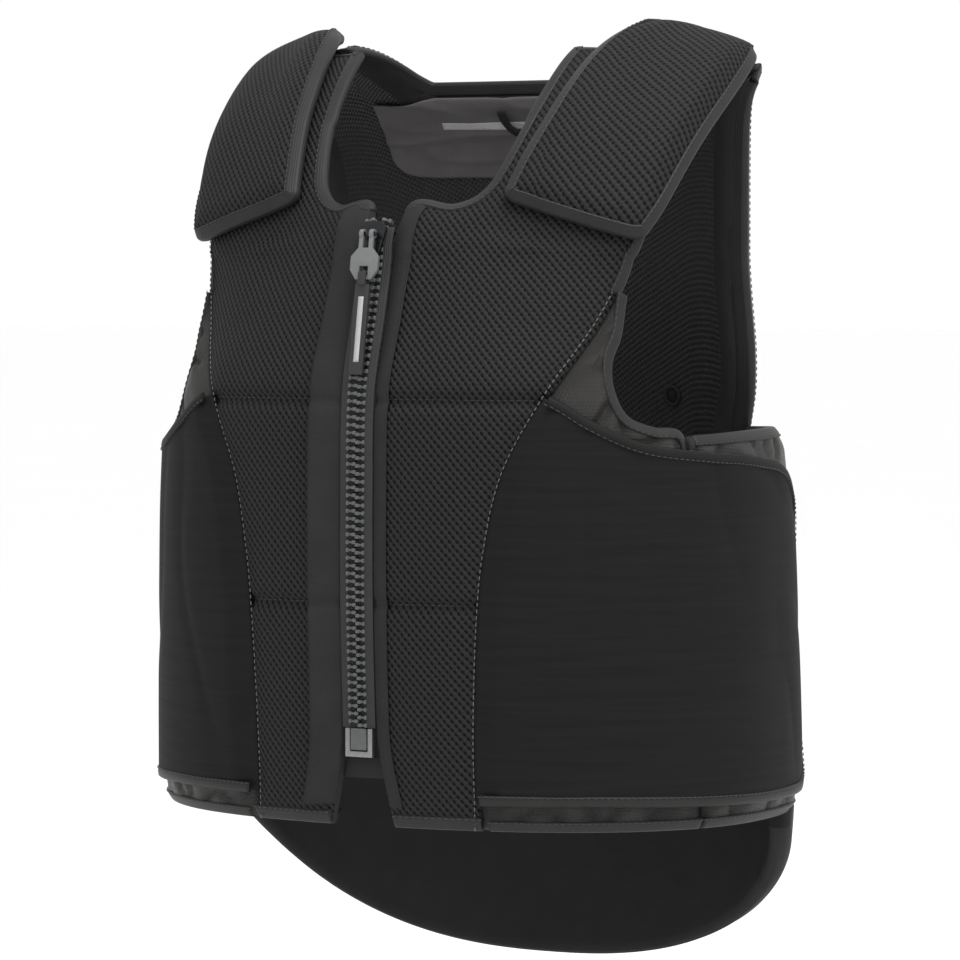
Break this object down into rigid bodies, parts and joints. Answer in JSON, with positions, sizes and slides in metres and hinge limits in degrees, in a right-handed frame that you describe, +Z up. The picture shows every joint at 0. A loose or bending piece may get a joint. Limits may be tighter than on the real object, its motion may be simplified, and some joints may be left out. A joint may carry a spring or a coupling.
{
  "type": "equestrian body protector",
  "caption": "Padded riding vest with a front zip, strapped shoulders under padded flaps, stretch side wings and a curved tail pad, in its worn shape.",
  "frame": {"origin": "between the shoulders, level with the back of the neck opening, in the middle of the vest", "axes": "+Z up along the wearer's spine, +Y towards the wearer's back, +X towards the wearer's left"},
  "size_m": [0.359, 0.2547, 0.5148],
  "materials": {
    "air_mesh": "open knitted spacer mesh, matt",
    "stretch_knit": "smooth elastic knit with fine ripples",
    "satin_tape": "folded binding tape, slight sheen",
    "nylon": "light coated nylon, soft sheen and wrinkles",
    "woven_tape": "plain woven tape",
    "smooth_lining": "smooth lining cloth, matt",
    "zip_plastic": "moulded acetal teeth",
    "zip_metal": "tumbled bright metal",
    "tab_rubber": "soft moulded grip"
  },
  "bodies": {
    "root": {"front_pad_left": "air_mesh", "zip_facing_left": "woven_tape", "front_binding_left": "satin_tape", "front_hem_left": "satin_tape", "front_side_pad_left": "nylon", "front_arm_binding_left": "satin_tape", "back_side_pad_left": "nylon", "back_arm_binding_left": "satin_tape", "front_side_hem_left": "satin_tape", "back_side_hem_left": "satin_tape", "back_edge_binding_left": "satin_tape", "shoulder_flap_left": "air_mesh", "flap_binding_left": "satin_tape", "side_wing_left": "stretch_knit", "wing_binding_left": "satin_tape", "zip_teeth_left": "zip_plastic", "zip_tape_left": "woven_tape", "front_pad_right": "air_mesh", "zip_facing_right": "woven_tape", "front_binding_right": "satin_tape", "front_hem_right": "satin_tape", "front_side_pad_right": "nylon", "front_arm_binding_right": "satin_tape", "back_side_pad_right": "nylon", "back_arm_binding_right": "satin_tape", "front_side_hem_right": "satin_tape", "back_side_hem_right": "satin_tape", "back_edge_binding_right": "satin_tape", "shoulder_flap_right": "air_mesh", "flap_binding_right": "satin_tape", "side_wing_right": "stretch_knit", "wing_binding_right": "satin_tape", "zip_teeth_right": "zip_plastic", "zip_tape_right": "woven_tape", "back_pad": "air_mesh", "back_neck_binding": "satin_tape", "tail_pad": "smooth_lining", "neck_facing": "woven_tape", "hang_loop": "woven_tape", "zip_end_box": "zip_plastic", "zip_end_clip": "zip_metal", "slit_tab": "woven_tape", "zip_slider": "zip_metal"},
    "puller": {"zip_pull": "zip_metal", "pull_tab": "tab_rubber"}
  },
  "joints": [
    {"name": "zip_pull_swing", "type": "hinge", "parent": "root", "child": "puller", "pos_m": [0, -0.12291, -0.08851], "axis": [-1, 0, 0], "range_deg": [0, 150]}
  ]
}
